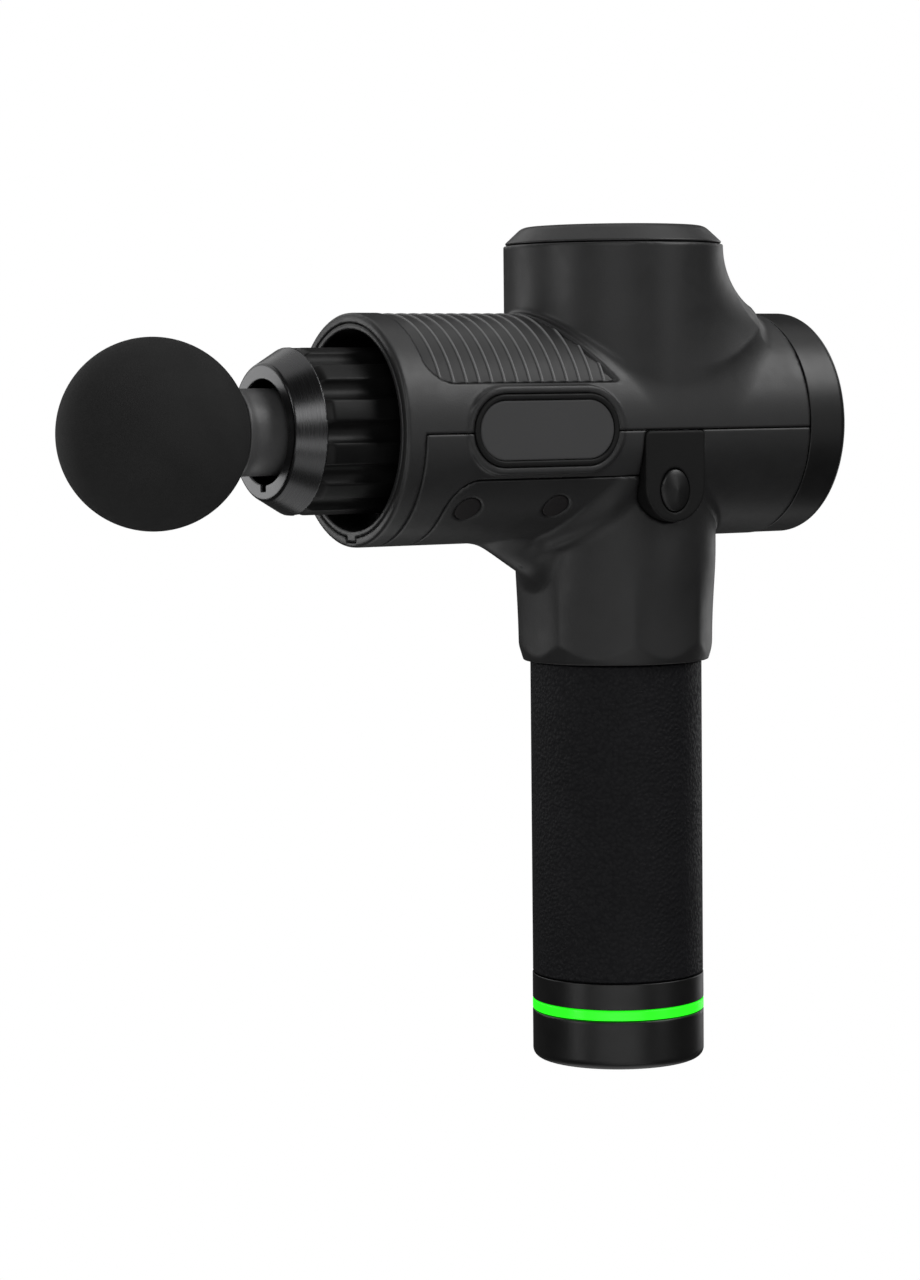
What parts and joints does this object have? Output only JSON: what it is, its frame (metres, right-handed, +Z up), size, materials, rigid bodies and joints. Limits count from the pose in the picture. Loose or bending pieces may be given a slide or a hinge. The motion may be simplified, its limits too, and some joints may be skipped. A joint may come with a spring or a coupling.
{
  "type": "massage gun",
  "caption": "Hand-held percussive massager: round barrel with a ball head on a reciprocating stem, motor turret above, upright battery handle with a lit ring.",
  "frame": {"origin": "centre of the handle's flat foot, on the surface it stands on", "axes": "+Z up along the handle, +X towards the rear control panel (the massage head points along -X), +Y to the user's left, Y = 0 the mirror plane"},
  "size_m": [0.2256, 0.0662, 0.2323],
  "materials": {
    "shell": "satin dark grey moulding",
    "housing_dark": "satin near-black moulding",
    "gloss_black": "polished black",
    "foam": "matte black foam",
    "grip": "fine black leather grain",
    "satin_metal": "turned and bead-blasted",
    "steel": "ground",
    "bronze": "sintered",
    "winding": "enamelled copper on a steel core",
    "rubber": "matte black",
    "circuit_board": "green solder mask",
    "cell_sleeve": "shrink sleeve",
    "light_guide": "lit green",
    "display_window": "smoked"
  },
  "bodies": {
    "housing": {"badge_frame_left": "gloss_black", "badge_frame_right": "gloss_black", "badge_plate_left": "shell", "badge_plate_right": "shell", "control_board": "circuit_board", "display_lens": "display_window", "drive_frame": "satin_metal", "fluted_sleeve": "gloss_black", "front_bush": "bronze", "front_lower_shell": "shell", "housing_screw_front_left": "steel", "housing_screw_front_right": "steel", "housing_screw_rear_left": "steel", "housing_screw_rear_right": "steel", "lower_bearing": "steel", "motor_stator": "winding", "mouth_liner": "housing_dark", "neck_housing": "housing_dark", "nose_ring": "satin_metal", "rear_bush": "bronze", "rear_cap": "gloss_black", "rear_panel": "gloss_black", "screw_plug_front_left": "rubber", "screw_plug_front_right": "rubber", "screw_plug_rear_left": "rubber", "screw_plug_rear_right": "rubber", "side_tab_left": "gloss_black", "side_tab_right": "gloss_black", "turret_cap": "shell", "upper_shell": "shell"},
    "crank": {"crank_disc": "steel", "crank_roller": "steel", "motor_shaft": "steel", "motor_rotor": "satin_metal"},
    "piston": {"piston": "satin_metal", "piston_rod": "steel", "yoke": "satin_metal"},
    "head": {"massage_ball": "foam", "head_stem": "housing_dark", "stem_o_ring_1": "rubber", "stem_o_ring_2": "rubber"},
    "battery": {"battery_tube": "housing_dark", "grip_sleeve": "grip", "base_band": "gloss_black", "light_ring": "light_guide", "base_cup": "gloss_black", "charge_jack": "housing_dark", "charge_board": "circuit_board", "battery_cell_1": "cell_sleeve", "battery_cell_2": "cell_sleeve", "battery_cell_3": "cell_sleeve", "battery_cell_4": "cell_sleeve", "battery_cell_5": "cell_sleeve", "battery_cell_6": "cell_sleeve"},
    "release_left": {"release_button_left": "gloss_black"},
    "release_right": {"release_button_right": "gloss_black"},
    "minus_key": {"minus_button": "rubber"},
    "power_key": {"power_button": "rubber"},
    "plus_key": {"plus_button": "rubber"},
    "switch": {"power_switch": "housing_dark"}
  },
  "joints": [
    {"name": "crank_turn", "type": "hinge", "parent": "housing", "child": "crank", "pos_m": [0, 0, 0.18], "axis": [0, 0, 1], "range_deg": [0, 180]},
    {"name": "piston_stroke", "type": "slide", "parent": "housing", "child": "piston", "axis": [-1, 0, 0], "range_m": [0, 0.012]},
    {"name": "head_pull_off", "type": "slide", "parent": "piston", "child": "head", "axis": [-1, 0, 0], "range_m": [0, 0.024]},
    {"name": "battery_pull_out", "type": "slide", "parent": "housing", "child": "battery", "axis": [0, 0, -1], "range_m": [0, 0.036]},
    {"name": "release_left_press", "type": "slide", "parent": "housing", "child": "release_left", "axis": [0, -1, 0], "range_m": [0, 0.0015], "stiffness_N_per_m": 2000, "springref_m": -0.0005},
    {"name": "release_right_press", "type": "slide", "parent": "housing", "child": "release_right", "axis": [0, 1, 0], "range_m": [0, 0.0015], "stiffness_N_per_m": 2000, "springref_m": -0.0005},
    {"name": "minus_press", "type": "slide", "parent": "housing", "child": "minus_key", "axis": [-1, 0, 0], "range_m": [0, 0.0006], "stiffness_N_per_m": 2500, "springref_m": -0.0004},
    {"name": "power_press", "type": "slide", "parent": "housing", "child": "power_key", "axis": [-1, 0, 0], "range_m": [0, 0.0006], "stiffness_N_per_m": 2500, "springref_m": -0.0004},
    {"name": "plus_press", "type": "slide", "parent": "housing", "child": "plus_key", "axis": [-1, 0, 0], "range_m": [0, 0.0006], "stiffness_N_per_m": 2500, "springref_m": -0.0004},
    {"name": "switch_slide", "type": "slide", "parent": "battery", "child": "switch", "axis": [0, 1, 0], "range_m": [0, 0.004]}
  ],
  "couplings": [
    {"joint": "piston_stroke", "follows": "crank_turn", "m_per_rad": 0.0038197}
  ]
}
